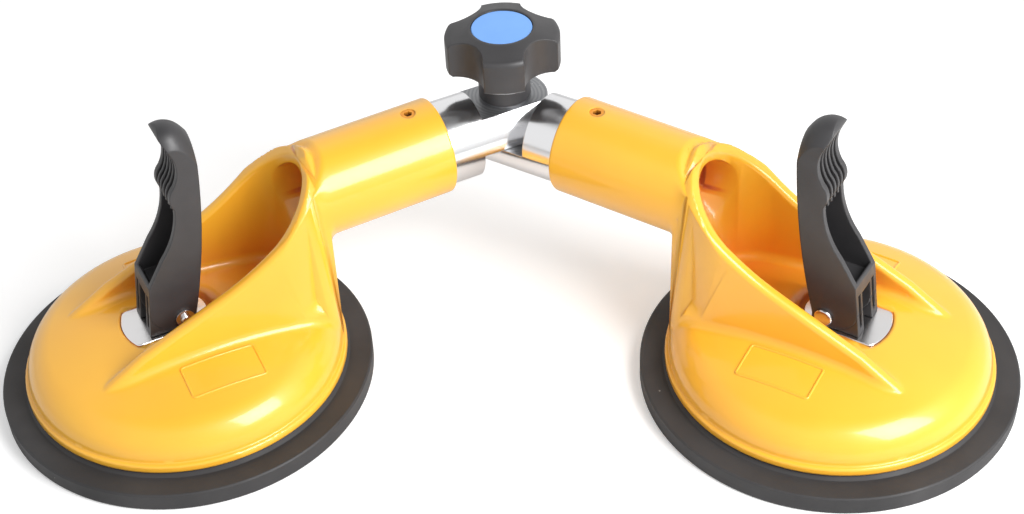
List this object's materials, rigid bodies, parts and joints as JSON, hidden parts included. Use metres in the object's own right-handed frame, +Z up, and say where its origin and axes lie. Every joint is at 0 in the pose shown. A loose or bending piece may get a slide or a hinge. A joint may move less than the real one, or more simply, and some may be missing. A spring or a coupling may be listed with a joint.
{
  "type": "suction lifter",
  "caption": "Hand lifter with two lever-operated rubber suction cups on cast heads, joined by bar stubs in a lap hinge that a lobed knob clamps at any angle.",
  "frame": {"origin": "centre of the bounding box on the floor plane that both rubber lips rest on, with the levers up and the arms at their shown angle", "axes": "+X from the left head to the right head; +Y towards the joint's knob, which is on the far side from the open angle; +Z up"},
  "size_m": [0.329, 0.1374, 0.0997],
  "materials": {
    "yellow_paint": "gloss two-part enamel over cast aluminium",
    "black_rubber": "matt moulded rubber",
    "bright_steel": "nickel-plated steel",
    "aluminium_bar": "turned and milled, bright",
    "black_nylon": "fine moulded texture, slight sheen",
    "blue_plastic": "smooth, slight gloss",
    "dark_screw": "blackened steel"
  },
  "bodies": {
    "right_head": {"right_rubber_pad": "black_rubber", "right_housing": "yellow_paint", "right_wear_plate": "bright_steel", "right_set_screw": "dark_screw", "right_stub": "aluminium_bar"},
    "left_head": {"left_rubber_pad": "black_rubber", "left_housing": "yellow_paint", "left_wear_plate": "bright_steel", "left_set_screw": "dark_screw", "left_stub": "aluminium_bar"},
    "left_puller": {"left_anchor_disc": "bright_steel", "left_pull_stud": "bright_steel"},
    "left_handle": {"left_lever": "black_nylon", "left_lever_pin": "bright_steel", "left_pin_washer": "bright_steel"},
    "right_puller": {"right_anchor_disc": "bright_steel", "right_pull_stud": "bright_steel"},
    "right_handle": {"right_lever": "black_nylon", "right_lever_pin": "bright_steel", "right_pin_washer": "bright_steel"},
    "knob_carrier": {"knob_washer": "bright_steel"},
    "knob": {"knob_body": "black_nylon", "knob_cap": "blue_plastic", "knob_stud": "bright_steel"}
  },
  "joints": [
    {"name": "arm_swing", "type": "hinge", "parent": "right_head", "child": "left_head", "pos_m": [0, 0.05012, 0.0594], "axis": [0, 0, 1], "range_deg": [-150, 33]},
    {"name": "left_stud_lift", "type": "slide", "parent": "left_head", "child": "left_puller", "axis": [0, 0, 1], "range_m": [0, 0.00757]},
    {"name": "left_lever_fold", "type": "hinge", "parent": "left_puller", "child": "left_handle", "pos_m": [-0.10413, -0.00832, 0.0311], "axis": [0.4894, -0.8721, 0], "range_deg": [0, 98]},
    {"name": "right_stud_lift", "type": "slide", "parent": "right_head", "child": "right_puller", "axis": [0, 0, 1], "range_m": [0, 0.00757]},
    {"name": "right_lever_fold", "type": "hinge", "parent": "right_puller", "child": "right_handle", "pos_m": [0.10413, -0.00832, 0.0311], "axis": [0.4894, 0.8721, 0], "range_deg": [0, 98]},
    {"name": "knob_lift", "type": "slide", "parent": "right_head", "child": "knob_carrier", "axis": [0, 0, 1], "range_m": [0, 0.0025]},
    {"name": "knob_turn", "type": "hinge", "parent": "knob_carrier", "child": "knob", "pos_m": [0, 0.05012, 0.0594], "axis": [0, 0, 1], "range_deg": [0, 722]}
  ],
  "couplings": [
    {"joint": "left_stud_lift", "follows": "left_lever_fold", "m_per_rad": 0.0043675},
    {"joint": "right_stud_lift", "follows": "right_lever_fold", "m_per_rad": 0.0043675},
    {"joint": "knob_turn", "follows": "knob_lift", "rad_per_m": 5026.6}
  ]
}
